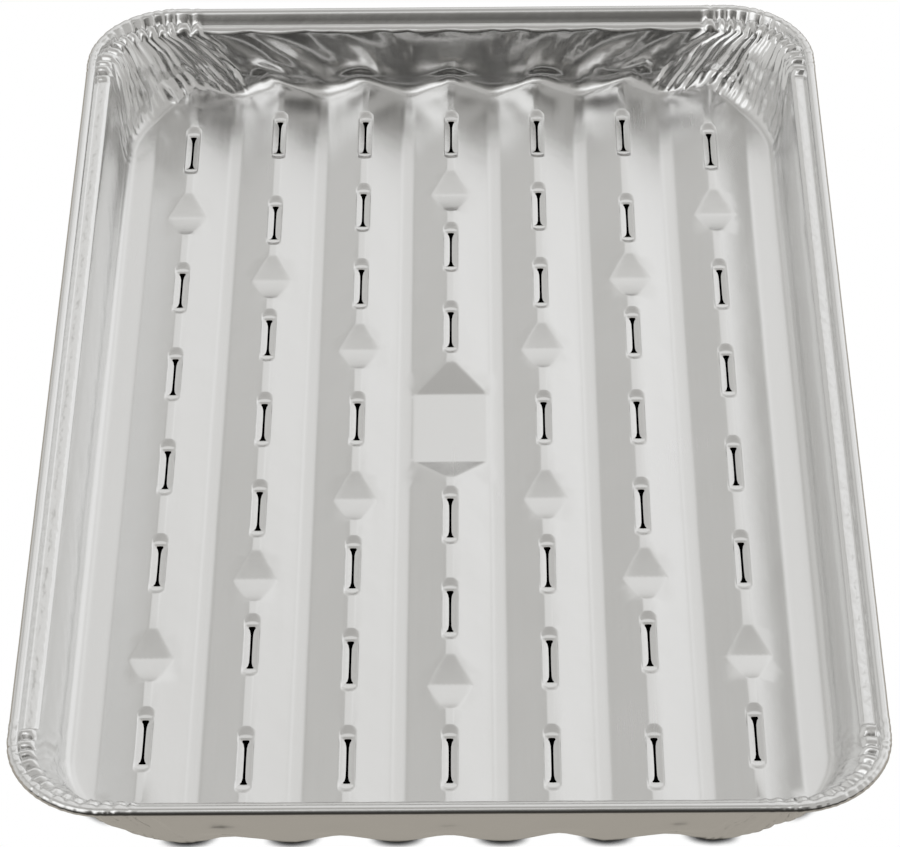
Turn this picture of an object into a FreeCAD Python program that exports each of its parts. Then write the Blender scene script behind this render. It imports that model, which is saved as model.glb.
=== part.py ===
import FreeCAD, Part
import math
import os

import Sketcher

# Perforated foil grill tray: one sheet of aluminium foil, pressed in one stroke.
# The floor is folded into seven ridges that run front to back. Slots along the ridge crests let
# fat drain, shallow notches cross the ridges, and a square pad lies in the middle of the floor.
# The side and end walls lean outward to a flange that rises to a flat curled hem, and the foil that
# is left over at the four corners is gathered into pleats.
# Millimetres, +Z up, +Y along the ridges. The origin is under the middle of the tray, on the
# surface that it stands on.

SIZES = [
    # outer size
    ("tray_length", 345.0, "over the hem, along the ridges"),
    ("tray_width", 228.0, "over the hem, across the ridges"),
    ("rim_level", 22.1, "top of the wall above the table, where the flange begins"),
    ("foil", 0.3, "wall of the pressed sheet"),
    # rim
    ("hem_width", 4.8, "curled edge, pressed flat: across"),
    ("hem_thickness", 1.5, "through the curl"),
    ("hem_tilt", 45.0, "degrees that its outer edge stands up"),
    ("curl_turn", 270.0, "degrees that the edge is curled through"),
    ("flange_width", 4.4, "from the wall to the hem"),
    ("flange_rise", 0.6, "from the wall to the hem"),
    ("lip_radius", 1.2, "bend between wall and flange"),
    ("rim_corner_radius", 27.3, "outline of the hem at a corner"),
    # walls
    ("side_lean", 3.7, "how far a side wall leans out from floor to flange"),
    ("end_lean", 3.4, "how far an end wall leans out from floor to flange"),
    ("floor_corner_radius", 33.0, "outline of the walls at floor level"),
    ("floor_bend_radius", 3.5, "bend between floor and wall"),
    # gathered corners
    ("pleat_count", 7, "pleats in each corner"),
    ("pleat_depth", 1.3, "depth of a pleat at the top of the wall"),
    ("pleat_lift", 0.6, "rise of a pleat on the flange"),
    ("hem_crimp", 0.3, "depth of the crimps on the hem"),
    # ridges
    ("ridge_count", 7, "ridges across the floor"),
    ("ridge_pitch", 27.0, "from crest to crest"),
    ("ridge_rise", 4.1, "crest above valley"),
    ("crest_width", 2.1, "flat top of a ridge"),
    ("valley_width", 3.4, "strip between two ridges, between the corners of their flanks"),
    ("fold_bend", 0.7, "how far the bend at a ridge's foot reaches to each side of its corner"),
    # notches across the ridges and the pad in the middle
    ("notch_length", 20.0, "along the crest"),
    ("notch_depth", 1.9, "below the crest"),
    ("notch_0", 105.6, "from the middle, on the centre ridge"),
    ("notch_1", 32.3, "on the ridges beside it"),
    ("notch_2", 64.5, "on the next ones"),
    ("notch_3", 95.1, "on the outermost ones"),
    ("pad_length", 28.9, "flat part, along the crest"),
    ("pad_ramp", 10.7, "slope at each end of the pad"),
    ("pad_depth", 3.7, "below the crest"),
    # drain slots
    ("pocket_length", 24.0, "pressed bed of a slot, along the crest"),
    ("pocket_width", 5.2, "across"),
    ("pocket_depth", 1.0, "below the crest"),
    ("pocket_corner", 1.3, "cut off its corners"),
    ("pocket_side_run", 0.5, "slope of its long edges, in plan"),
    ("pocket_end_run", 2.0, "slope of its ends, in plan"),
    ("mouth_length", 18.0, "opening in the bed, point to point"),
    ("mouth_width", 3.8, "across"),
    ("mouth_point", 2.0, "length of each pointed end"),
    ("flap_drop", 1.5, "how far the two flaps are bent down"),
    ("slit_length", 16.0, "gap between the flaps"),
    ("slit_width", 0.5, "in the middle"),
    ("slit_head", 1.6, "width of the torn ends"),
    ("slit_head_length", 2.6, "length of a torn end"),
    # slot centres, from the middle of the tray
    ("slot_0_near", 40.7, "centre ridge"),
    ("slot_0_mid", 78.0, "centre ridge"),
    ("slot_0_far", 133.8, "centre ridge"),
    ("slot_1_near", 60.8, "ridges beside it"),
    ("slot_1_mid", 97.4, "ridges beside it"),
    ("slot_1_far", 133.8, "ridges beside it"),
    ("slot_2_near", 37.5, "next ridges"),
    ("slot_2_mid", 91.5, "next ridges"),
    ("slot_2_far", 134.0, "next ridges"),
    ("slot_3_near", 20.1, "outermost ridges"),
    ("slot_3_mid", 59.5, "outermost ridges"),
    ("slot_3_far", 126.5, "outermost ridges"),
]

# Which ridges carry a slot at the middle of the tray as well.
MIDDLE_SLOT_RIDGES = (1, 2)

doc = FreeCAD.newDocument("foil_tray")
sheet = doc.addObject("Spreadsheet::Sheet", "Sizes")
for row, (alias, value, note) in enumerate(SIZES, start=1):
    sheet.set("A%d" % row, alias)
    sheet.set("B%d" % row, str(value))
    sheet.set("C%d" % row, note)
    sheet.setAlias("B%d" % row, alias)
doc.recompute()


def size(name):
    return float(getattr(sheet, name))


# ---------------------------------------------------------------- sketch helpers

def origin_plane(body, role):
    for feature in body.Origin.OriginFeatures:
        if feature.Role == role:
            return feature
    raise ValueError("no origin plane " + role)


def polygon_sketch(body, name, role, corners, shift=None):
    """A closed outline on an origin plane. Each corner is a pair of expressions on the sheet."""
    sketch = body.newObject("Sketcher::SketchObject", name)
    sketch.AttachmentSupport = [(origin_plane(body, role), "")]
    sketch.MapMode = "FlatFace"
    if shift:
        sketch.setExpression("AttachmentOffset.Base.z", shift)
    add_outline(sketch, corners)
    return sketch


def add_outline(sketch, corners):
    points = [FreeCAD.Vector(evaluate(sketch, x), evaluate(sketch, y), 0) for x, y in corners]
    first = sketch.GeometryCount
    count = len(points)
    for i, point in enumerate(points):
        sketch.addGeometry(Part.LineSegment(point, points[(i + 1) % count]), False)
    for i in range(count):
        sketch.addConstraint(Sketcher.Constraint(
            "Coincident", first + i, 2, first + (i + 1) % count, 1))
    for i, (x, y) in enumerate(corners):
        for kind, expression, value in (("DistanceX", x, points[i].x), ("DistanceY", y, points[i].y)):
            if value < 0:
                constraint = Sketcher.Constraint(kind, first + i, 1, -1, 1, -value)
                expression = "-(%s)" % expression
            else:
                constraint = Sketcher.Constraint(kind, -1, 1, first + i, 1, value)
            index = sketch.addConstraint(constraint)
            sketch.setExpression("Constraints[%d]" % index, expression)


def evaluate(owner, expression):
    value = owner.evalExpression(expression)
    return float(getattr(value, "Value", value))


# ---------------------------------------------------------------- form blocks under the floor

FOLD_ANGLE = ("atan(2 * Sizes.ridge_rise"
              " / (Sizes.ridge_pitch - Sizes.crest_width - Sizes.valley_width))")


def ridge_flank(drop):
    """Corners of a ridge's right half, from its foot to its crest, each a pair of expressions.

    The foot is bent in two steps. drop moves the line inward by that distance, square to each face.
    """
    near_face = "(%s) * tan(%s / 4)" % (drop, FOLD_ANGLE)
    shift_x = "(%s) * sin(3 * %s / 4) / cos(%s / 4)" % (drop, FOLD_ANGLE, FOLD_ANGLE)
    shift_z = "(%s) * cos(3 * %s / 4) / cos(%s / 4)" % (drop, FOLD_ANGLE, FOLD_ANGLE)
    along = "Sizes.fold_bend * cos(%s)" % FOLD_ANGLE
    down = "Sizes.fold_bend * sin(%s)" % FOLD_ANGLE
    crest = "Sizes.crest_width / 2"
    foot = "(Sizes.ridge_pitch - Sizes.valley_width) / 2"
    top = "Sizes.foil + Sizes.ridge_rise"
    return [("(%s + Sizes.fold_bend - %s)" % (foot, near_face), "(Sizes.foil - %s)" % drop),
            ("(%s - %s - %s)" % (foot, along, shift_x), "(Sizes.foil + %s - %s)" % (down, shift_z)),
            ("(%s - (%s) * tan(%s / 2))" % (crest, drop, FOLD_ANGLE), "(%s - %s)" % (top, drop))]


def form_block(name, label, drop):
    """The floor's pressing form: a slab, the ridges and the notches.

    drop is how far the surface lies below the top face of the foil, as an expression: 0 for
    the top face and Sizes.foil for the underside.
    """
    body = doc.addObject("PartDesign::Body", name)
    body.Label = label
    level = "(Sizes.foil - %s)" % drop

    half_x = "Sizes.tray_width / 2"
    half_y = "Sizes.tray_length / 2"
    slab_sketch = polygon_sketch(body, name + "SlabSketch", "XZ_Plane", [
        ("-(%s)" % half_x, "-2 * Sizes.ridge_rise"), (half_x, "-2 * Sizes.ridge_rise"),
        (half_x, level), ("-(%s)" % half_x, level)])
    slab = body.newObject("PartDesign::Pad", name + "Slab")
    slab.Profile = slab_sketch
    slab.Midplane = True
    slab.setExpression("Length", "Sizes.tray_length")

    first = "(Sizes.ridge_pitch * (Sizes.ridge_count - 1) / 2)"
    flank = ridge_flank(drop)
    ridge_sketch = polygon_sketch(body, name + "RidgeSketch", "XZ_Plane",
                                  [("-%s + %s" % (first, x), z) for x, z in flank]
                                  + [("-%s - %s" % (first, x), z) for x, z in reversed(flank)])
    ridge = body.newObject("PartDesign::Pad", name + "Ridge")
    ridge.Profile = ridge_sketch
    ridge.Midplane = True
    ridge.setExpression("Length", "Sizes.tray_length")
    doc.recompute()
    ridges = body.newObject("PartDesign::LinearPattern", name + "Ridges")
    ridges.Originals = [ridge]
    ridges.Direction = (origin_plane(body, "X_Axis"), [""])
    ridges.setExpression("Length", "Sizes.ridge_pitch * (Sizes.ridge_count - 1)")
    ridges.setExpression("Occurrences", "Sizes.ridge_count")
    body.Tip = ridges
    doc.recompute()

    for column in range(4):
        for side in ((-1, 1) if column else (1,)):
            tip = notch_cut(body, name, column, side, drop, level)
    body.Tip = tip
    doc.recompute()
    return body


def notch_cut(body, name, column, side, drop, level):
    """The two notches of one ridge; the centre ridge also has the pad."""
    crest = "(%s + Sizes.ridge_rise)" % level
    over = "(%s + 3 * Sizes.notch_depth)" % crest
    slope = "(2 * Sizes.notch_depth / Sizes.notch_length)"
    # the underside of a sloping face lies lower than the foil's thickness, by the slope's secant
    low = "(Sizes.foil + Sizes.ridge_rise - Sizes.notch_depth - (%s) / cos(atan(%s)))" % (drop, slope)
    reach = "((%s - %s) / %s)" % (over, low, slope)
    sketch = None
    for sign in ("", "-"):
        centre = "%sSizes.notch_%d" % (sign, column)
        corners = [("%s - %s" % (centre, reach), over), (centre, low), ("%s + %s" % (centre, reach), over)]
        if sketch is None:
            shift = "%s%d * Sizes.ridge_pitch" % ("-" if side < 0 else "", column)
            sketch = polygon_sketch(body, "%sNotchSketch%d%s" % (name, column, "L" if side < 0 else "R"),
                                    "YZ_Plane", corners, shift)
        else:
            add_outline(sketch, corners)
    if column == 0:
        ramp = "(Sizes.pad_depth / Sizes.pad_ramp)"
        flat = "(Sizes.foil + Sizes.ridge_rise - Sizes.pad_depth - %s)" % drop
        # where the offset ramp and the offset flat meet
        corner = "(Sizes.pad_length / 2 + (%s) * tan(atan(%s) / 2))" % (drop, ramp)
        pad_over = "(%s + Sizes.notch_depth)" % crest
        far = "(%s + (%s - %s) / %s)" % (corner, pad_over, flat, ramp)
        add_outline(sketch, [("-" + far, pad_over), ("-" + corner, flat), (corner, flat), (far, pad_over)])
    pocket = body.newObject("PartDesign::Pocket", "%sNotches%d%s" % (name, column, "L" if side < 0 else "R"))
    pocket.Profile = sketch
    pocket.Midplane = True
    pocket.setExpression("Length", "Sizes.ridge_pitch")
    doc.recompute()
    return pocket


# ---------------------------------------------------------------- walls, rim and gathered corners

def pleat_angles():
    """Stations round one corner, in degrees: the folds of uneven pleats."""
    count = int(size("pleat_count"))
    widths = [1.0 + 0.28 * math.sin(2.3 * i + 0.6) for i in range(2 * count)]
    total = sum(widths)
    angles = [0.0]
    for width in widths:
        angles.append(angles[-1] + 90.0 * width / total)
    angles[-1] = 90.0
    return angles


def outline(half_x, half_y, radius, level, pleat=0.0, lift=0.0):
    """The fold points of a closed line round the tray, at one level.

    pleat draws every second fold inward by that share of the corner's radius, and lift raises it.
    """
    angles = pleat_angles()
    last = len(angles) - 1
    points = []
    for quarter, (sx, sy) in enumerate(((1, 1), (-1, 1), (-1, -1), (1, -1))):
        steps = range(last + 1) if quarter % 2 == 0 else range(last, -1, -1)
        for i in steps:
            fold = 1.0 if i % 2 else 0.0
            reach = radius * (1 - pleat * fold)
            turn = math.radians(angles[i])
            points.append(FreeCAD.Vector(sx * (half_x - radius + reach * math.cos(turn)),
                                         sy * (half_y - radius + reach * math.sin(turn)),
                                         level + lift * (fold - 0.5 if 0 < i < last else 0.0)))
    return points


def closed(points):
    return Part.makePolygon(points + points[:1])


def skin_solid(outlines):
    """A solid whose skin is folded flat between one outline and the next, closed by two end faces."""
    faces = [Part.Face(closed(outlines[0])), Part.Face(closed(outlines[-1]))]
    for lower, upper in zip(outlines, outlines[1:]):
        count = len(lower)
        for i in range(count):
            a, b = lower[i], lower[(i + 1) % count]
            c, d = upper[(i + 1) % count], upper[i]
            normal = (b - a).cross(d - a).normalize()
            if abs(normal.dot(c - a)) < 1e-7:
                faces.append(Part.Face(closed([a, b, c, d])))
            else:
                faces.append(Part.Face(closed([a, b, c])))
                faces.append(Part.Face(closed([a, c, d])))
    shell = Part.Shell(faces)
    shell.sewShape()
    solid = Part.Solid(shell)
    if solid.Volume < 0:
        solid.reverse()
    return solid


def hem_point(degrees, drop):
    """A place round the hem's oval, from its foot on the flange: outward and up.

    180 degrees is the foot and 90 the upper face. drop is how far inside the oval the line runs.
    """
    turn, tilt = math.radians(degrees), math.radians(size("hem_tilt"))
    half_width, half_thickness = size("hem_width") / 2, size("hem_thickness") / 2
    along = half_width + (half_width - drop) * math.cos(turn)
    across = (half_thickness - drop) * math.sin(turn)
    return (along * math.cos(tilt) - across * math.sin(tilt),
            along * math.sin(tilt) + across * math.cos(tilt))


def hem_turns():
    """Where the hem's oval is folded, in degrees: up from its foot, over, down and back under."""
    end = 180.0 - size("curl_turn")
    return [turn for turn in range(180, -181, -45) if turn > end + 20] + [end]


def rim_inset():
    """Width of the rim, from the hem's outside to the wall."""
    return size("flange_width") + max(hem_point(turn, 0.0)[0] for turn in hem_turns())


def wall_pleat(share):
    """Depth of the pleats on the wall, as a share of the corner's radius."""
    return share * size("pleat_depth") / (size("rim_corner_radius") - rim_inset())


def wall_outline(level, inset, pleat=0.0):
    """The wall's outline at a height; inset is how far inside the wall line it runs."""
    share = min(max(level / size("rim_level"), 0.0), 1.0)
    rim_radius = size("rim_corner_radius") - rim_inset()
    radius = rim_radius + (size("floor_corner_radius") - rim_radius) * (1 - share)
    half_x = size("tray_width") / 2 - rim_inset() - size("side_lean") * (1 - share)
    half_y = size("tray_length") / 2 - rim_inset() - size("end_lean") * (1 - share)
    return outline(half_x - inset, half_y - inset, radius - inset, level, pleat)


def floor_bend(skin):
    """Outlines of the bend between floor and wall. skin is 0 inside the tray, the foil outside."""
    centre, bend = size("foil") + size("floor_bend_radius"), size("floor_bend_radius")
    outlines = []
    for degrees in (0.0, 45.0, 90.0):
        turn = math.radians(degrees)
        outlines.append(wall_outline(centre - (bend + skin) * math.cos(turn),
                                     bend - (bend + skin) * math.sin(turn),
                                     wall_pleat(0.3) if degrees == 90.0 else 0.0))
    return outlines


def lip_outlines(skin, pleat):
    """Outlines of the bend from the wall into the rising flange. skin is as in floor_bend."""
    lip, top = size("lip_radius"), size("rim_level")
    bend = math.pi / 2 - math.atan2(size("flange_rise"), size("flange_width") - lip)
    outlines = []
    for share in (0.0, 0.5, 1.0):
        turn = share * bend
        outlines.append(rim_outline(lip - (lip - skin) * math.cos(turn),
                                    top - lip + (lip - skin) * math.sin(turn), pleat))
    end = lip - lip * math.cos(bend), top - lip + lip * math.sin(bend)
    return outlines, end


def rim_outline(offset, level, pleat, lift=0.0):
    """An outline outside the wall's top edge by offset."""
    return outline(size("tray_width") / 2 - rim_inset() + offset,
                   size("tray_length") / 2 - rim_inset() + offset,
                   size("rim_corner_radius") - rim_inset() + offset, level, pleat, lift)


def outside_form():
    """The tray as a filled block: walls outside, underside of the flange, curled hem, flange top."""
    foil = size("foil")
    pleat, lift = wall_pleat(1.0), size("pleat_lift")
    crimp = size("hem_crimp") / size("rim_corner_radius")
    foot_offset, foot_level = size("flange_width"), size("rim_level") + size("flange_rise")
    lip, (lip_offset, lip_level) = lip_outlines(foil, pleat)
    # the curl, first along its inside and then back along its outside
    start = 180.0 + math.degrees(math.asin(foil / (size("hem_thickness") / 2 - foil)))
    line = [(degrees, foil) for degrees in [start] + hem_turns()[1:]]
    line += [(degrees, 0.0) for degrees in reversed(hem_turns())]
    curl = []
    for i, (degrees, drop) in enumerate(line):
        out, up = hem_point(degrees, drop)
        curl.append(rim_outline(foot_offset + out, foot_level + up, crimp,
                                lift if i in (0, len(line) - 1) else 0.0))
    return skin_solid(floor_bend(foil) + lip + curl + [rim_outline(lip_offset + foil, lip_level, pleat)])


def inside_form():
    """The space inside the walls, up to just above the flange, where it opens out over the lip."""
    pleat = wall_pleat(1.0)
    lip, (lip_offset, lip_level) = lip_outlines(0.0, pleat)
    return skin_solid(floor_bend(0.0) + lip + [rim_outline(lip_offset, lip_level + size("lip_radius"), pleat)])


# ---------------------------------------------------------------- drain slots

def slot_places():
    """Centres of all slots: the four quarters of the floor are alike."""
    places = []
    for column in range(4):
        for sx in ((1, -1) if column else (1,)):
            x = sx * column * size("ridge_pitch")
            for place in ("near", "mid", "far"):
                y = size("slot_%d_%s" % (column, place))
                places += [(x, y), (x, -y)]
            if column in MIDDLE_SLOT_RIDGES:
                places.append((x, 0.0))
    return places


def oblong(half_width, half_length, cut, level):
    """Corners of an upright oblong, each cut off at 45 degrees if cut is set."""
    points = []
    for sx, sy in ((1, 1), (-1, 1), (-1, -1), (1, -1)):
        pair = [(half_width, half_length - cut), (half_width - cut, half_length)]
        if sx * sy < 0:
            pair.reverse()
        for x, y in pair if cut else pair[:1]:
            points.append(FreeCAD.Vector(sx * x, sy * y, level))
    return points


def slot_press(skin):
    """What one slot's punch takes out of the ridge: the bed and the mouth with its two flaps.

    skin is 0 for the top face of the foil, where the punch also tears the slit, and the foil's
    thickness for the underside.
    """
    crest = size("foil") + size("ridge_rise")
    bed = crest - size("pocket_depth") - skin
    over = crest + size("pocket_depth")
    side_flare = size("pocket_side_run") / size("pocket_depth")
    end_flare = size("pocket_end_run") / size("pocket_depth")
    half_w = size("pocket_width") / 2 - size("pocket_side_run") + skin
    half_l = size("pocket_length") / 2 - size("pocket_end_run") + skin
    cut = size("pocket_corner") if skin == 0 else 0.0
    pocket = skin_solid([oblong(half_w, half_l, cut, bed),
                         oblong(half_w + side_flare * (over - bed), half_l + end_flare * (over - bed),
                                cut, over)])
    # the mouth: pointed at both ends, with a flap bent down from each side to the keel
    half_m, point = size("mouth_width") / 2, size("mouth_point")
    tilt = math.atan2(size("flap_drop"), half_m)
    mouth_level = crest - size("pocket_depth")
    keel = mouth_level - size("flap_drop") - skin / math.cos(tilt)
    brim = mouth_level + size("foil")
    tip = size("mouth_length") / 2 + skin * math.hypot(half_m, point) / half_m
    side = (brim - keel) / math.tan(tilt)
    shoulder = tip - side * point / half_m
    corners = {
        "a": (side, -shoulder, brim), "b": (side, shoulder, brim), "c": (0, tip, brim),
        "d": (-side, shoulder, brim), "e": (-side, -shoulder, brim), "f": (0, -tip, brim),
        "k": (0, -tip, keel), "l": (0, tip, keel)}
    faces = [Part.Face(closed([FreeCAD.Vector(*corners[n]) for n in names]))
             for names in ("abcdef", "ablk", "dekl", "bcl", "cdl", "efk", "fak")]
    trough = Part.Solid(Part.Shell(faces))
    if trough.Volume < 0:
        trough.reverse()
    punch = pocket.fuse(trough)
    if skin == 0:
        lowest = keel - 2 * size("foil")
        punch = punch.fuse(slit_press(lowest, brim - lowest))
    return punch


def slit_press(level, height):
    """The torn gap between the flaps, wider at its two ends."""
    half = size("slit_length") / 2
    head = half - size("slit_head_length")
    w, hw = size("slit_width") / 2, size("slit_head") / 2
    points = []
    for sx, sy in ((1, 1), (-1, 1), (-1, -1), (1, -1)):
        quarter = [(w, head), (hw, half)]
        if sx * sy < 0:
            quarter.reverse()
        points += [FreeCAD.Vector(sx * x, sy * y, level) for x, y in quarter]
    return Part.Face(closed(points)).extrude(FreeCAD.Vector(0, 0, height))


def at_every_slot(shape):
    copies = []
    for x, y in slot_places():
        copy = shape.copy()
        copy.translate(FreeCAD.Vector(x, y, 0))
        copies.append(copy)
    return Part.makeCompound(copies)


# ---------------------------------------------------------------- assembly of the sheet

def feature(name, label, shape):
    item = doc.addObject("Part::Feature", name)
    item.Label = label
    item.Shape = shape
    item.Placement = FreeCAD.Placement()
    return item


def boolean(kind, name, label, base, tool):
    item = doc.addObject("Part::" + kind, name)
    item.Label = label
    item.Base = base
    item.Tool = tool
    return item


top_form = form_block("TopForm", "form_under_top_face", "0")
under_form = form_block("UnderForm", "form_under_sheet", "Sizes.foil")

top_punches = feature("TopPunches", "slot_punches_top", at_every_slot(slot_press(0.0)))
under_punches = feature("UnderPunches", "slot_punches_under", at_every_slot(slot_press(size("foil"))))
outside = feature("Outside", "outside_of_walls_and_rim", outside_form())
inside = feature("Inside", "inside_of_walls", inside_form())

top_bed = boolean("Cut", "TopBed", "floor_top", top_form, top_punches)
under_bed = boolean("Cut", "UnderBed", "floor_underside", under_form, under_punches)
space = boolean("Cut", "Space", "space_in_tray", inside, top_bed)
block = boolean("Cut", "Block", "tray_block", outside, under_bed)
tray = boolean("Cut", "FoilTray", "foil_tray", block, space)
tray.Placement = FreeCAD.Placement()
doc.recompute()


# ---------------------------------------------------------------- checks and export

for item in doc.Objects:
    if "Invalid" in item.State or "Error" in item.State:
        raise RuntimeError("%s failed: %s" % (item.Name, item.State))

os.makedirs("parts", exist_ok=True)
for item in (tray,):
    shape = item.Shape
    if shape.isNull() or not shape.isValid():
        raise RuntimeError(item.Label + " has no valid shape")
    print(item.Label, "solids", len(shape.Solids), "faces", len(shape.Faces),
          "volume", round(shape.Volume, 2), "box", shape.BoundBox)
    shape.exportStep(os.path.join("parts", item.Label + ".step"))
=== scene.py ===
import math

import bpy
import numpy as np
from mathutils import Matrix, Vector, noise
from mathutils.geometry import delaunay_2d_cdt


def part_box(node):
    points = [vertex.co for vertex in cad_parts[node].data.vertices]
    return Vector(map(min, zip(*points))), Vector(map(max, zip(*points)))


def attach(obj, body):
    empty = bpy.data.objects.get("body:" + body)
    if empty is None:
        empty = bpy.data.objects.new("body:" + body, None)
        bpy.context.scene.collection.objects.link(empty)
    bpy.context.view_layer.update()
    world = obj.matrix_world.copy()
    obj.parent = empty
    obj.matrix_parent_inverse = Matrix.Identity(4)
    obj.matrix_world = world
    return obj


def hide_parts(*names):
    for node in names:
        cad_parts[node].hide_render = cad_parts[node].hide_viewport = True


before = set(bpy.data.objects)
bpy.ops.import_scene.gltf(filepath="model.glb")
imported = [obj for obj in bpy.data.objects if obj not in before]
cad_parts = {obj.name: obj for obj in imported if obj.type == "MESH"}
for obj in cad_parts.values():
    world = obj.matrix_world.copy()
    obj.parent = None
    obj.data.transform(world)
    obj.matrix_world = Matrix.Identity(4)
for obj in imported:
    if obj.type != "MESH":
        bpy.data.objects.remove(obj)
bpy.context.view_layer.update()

# Perforated foil grill tray, pressed from one sheet of aluminium foil. The floor is a height over
# the plan, meshed along its folds. Walls, flange and curled edge are one skirt of rows that starts
# on the floor's edge. Shapes are worked out in millimetres and scaled to metres when a mesh is made.
# A width that rounds a fold is half of what the bend takes up.

MM = 0.001
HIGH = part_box("foil_tray")[1] / MM

# sheet and rim
FOIL = 0.12
RIM_CORNER = 27.3
RIM_INSET = 7.9
# The rim's line from the wall's top outward: where it heads first, in degrees above level, and its
# bends as length, turn in degrees (over is minus) and steps.
RIM_HEADING = 72.0
END_RIM = ((1.21, -42, 3), (1.95, -28, 3), (0.38, 54, 3), (2.95, 3, 2), (2.27, -59, 4), (4.71, -200, 8))
SIDE_RIM = ((1.89, -72, 3), (2.30, -9, 3), (0.61, 87, 3), (2.30, 0, 2), (2.18, -78, 4), (5.06, -200, 8))
RIM_HEIGHT = 5.3
WALL_TOP = HIGH.z - RIM_HEIGHT
RIM_CEILING = HIGH.z + 0.1
# Rounded folds of the flange and cracks of the curled edge, at the corners: how far apart they are,
# how much they lift or sink the sheet and how much they push it outwards.
FOLD_WIDTH, FOLD_LIFT, FOLD_PUSH = 4.1, 3.0, 0.7
CRACK_WIDTH, CRACK_SINK, CRACK_PUSH = 2.4, 0.5, 0.38
# Rows of the rim, and how much of the folds or of the cracks they have.
FOLDED_ROWS = ((0, 1, 3, 6, 9, 13), (0.2, 0.7, 1.0, 1.0, 0.7, 0.1))
CRACKED_ROWS = ((8, 12, 22), (0.0, 1.0, 0.6))

# walls: how far they lean out, the share of that in a flare at the top and the flare's height, the
# floor's corner, the bend round the floor, and how far the wall bulges out where a ridge runs into it
SIDE_LEAN, END_LEAN = 3.7, 3.4
FLARE, FLARE_HEIGHT = 0.16, 5.0
FLOOR_CORNER = 33.0
VALLEY_BEND, CREST_BEND = 3.5, 2.1
LEDGE = 0.75
# Pleats of the walls at the corners: how far past a corner they reach and how deep they are, on the
# ends and on the long sides, then their width and how much they slant.
END_PLEAT_REACH, END_PLEAT_DEPTH = 18.0, 1.7
SIDE_PLEAT_REACH, SIDE_PLEAT_DEPTH = 9.0, 1.5
PLEAT_WIDTH, PLEAT_SLANT = 2.7, 0.12
# The near half of the tray has only this share of the pleats and of the dents.
NEAR_PLEATS, NEAR_DENTS = 0.5, 0.3
# Depth of the soft waves of end and side walls, the side walls' fine ripples and the pleats' unevenness.
END_WAVES, SIDE_WAVES, SIDE_RIPPLES, PLEAT_NOISE = 0.5, 0.25, 0.07, 0.45

# floor
PITCH, RIDGES = 27.0, 7
COLUMNS = range(-(RIDGES // 2), RIDGES // 2 + 1)
RISE = 4.1
CREST_HALF, CREST_ROUND = 1.05, 0.35
VALLEY, FOOT_ROUND = 3.4, 0.95
FOOT = (PITCH - VALLEY) / 2
SLOPE = RISE / (FOOT - CREST_HALF)
NOTCH_HALF, NOTCH_DEPTH, NOTCH_ROUND = 10.0, 1.9, 0.25
NOTCH_REACH = CREST_HALF + NOTCH_DEPTH / SLOPE
PAD_HALF, PAD_RAMP, PAD_DEPTH, PAD_ROUND = 14.45, 10.7, 3.7, 0.28
PAD_REACH = CREST_HALF + PAD_DEPTH / SLOPE
# Notches and slots by their ridge, from the middle one outwards: distances from the tray's middle.
NOTCHES = (105.6, 32.3, 64.5, 95.1)
SLOTS = ((40.7, 78.0, 133.8), (0.0, 60.8, 97.4, 133.8), (0.0, 37.5, 91.5, 134.0), (20.1, 59.5, 126.5))

# slots: the pressed bed with its rounded ends, the mouth where its flaps begin, and the torn slit
POCKET_HALF_X, POCKET_HALF_Y, POCKET_DEPTH, POCKET_END = 2.6, 12.0, 0.9, 1.9
SIDE_RUN, SIDE_ROUND = 0.6, 0.15
END_RUN, END_ROUND = 2.0, 0.2
POCKET_EDGE_ROUND = 0.12
MOUTH_HALF_X, MOUTH_HALF_Y, MOUTH_RUN = 1.85, 8.45, 1.4
FLAP_DROP, FLAP_ROUND = 0.8, 0.12
SLIT_HALF, SLIT_GAP, SLIT_HEAD, SLIT_HEAD_RUN = 8.0, 0.33, 1.0, 2.6

# mesh: stations round the tray, rows up its wall, and points of the floor
CORNER_STEPS, END_STEP, SIDE_STEP = 80, 2.5, 4.2
FOLD_STEP, FOLD_STEPS = 0.7, 12
BEND_ROWS = (0.0, 22.0, 45.0, 68.0, 90.0)
WALL_ROWS = (0.04, 0.09, 0.14, 0.2, 0.27, 0.35, 0.45, 0.56, 0.68, 0.8, 0.9, 1.0)
RIM_START = len(BEND_ROWS) + len(WALL_ROWS)
RIDGE_SPACING, FILL_SPACING, POINT_GAP = 8.0, 5.2, 0.28
SLOT_POINTS = (0.0, 3.2, 6.4)

# Fine crinkle, from 0 to 1: on the upper wall, and on the lip and the curled edge. The flange between
# them has more. LIP_ROWS and FLANGE_END count rows of the rim.
WALL_CRINKLE, EDGE_CRINKLE = 0.12, 0.06
LIP_ROWS, FLANGE_END = 2, 7
SHARP_ANGLE = 50

# view
CAMERA_AT = (8.72, -832.08, 749.85)
CAMERA_PITCH, CAMERA_YAW, CAMERA_ROLL = 41.942, -0.611, -0.787
FOCAL_LENGTH, SENSOR_WIDTH = 154.8, 36.0


# ---------------------------------------------------------------- small helpers

def smooth_ramp(u, width):
    """0 below zero and u above it, with a bend of half-width width in between."""
    return np.where(u <= -width, 0.0, np.where(u >= width, u, (u + width) ** 2 / (4 * width)))


def smooth_low(a, b, width):
    """The lower of two heights, with the crease between them rounded."""
    return a - smooth_ramp(a - b, width)


def smooth_high(a, b, width):
    """The higher of two heights, with the crease between them rounded."""
    return a + smooth_ramp(b - a, width)


def smooth_abs(u, width):
    """The size of u, with its crease at zero rounded."""
    return smooth_ramp(u, width) + smooth_ramp(-u, width)


# Where a seed takes its noise from: how far along, and how far up where the points are flat. Then how
# much weaker and finer each further octave is.
SEED_SHIFT, SEED_RISE = 17.31, 3.7
OCTAVE_LOSS, OCTAVE_STEP = 0.9, 2.1


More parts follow.
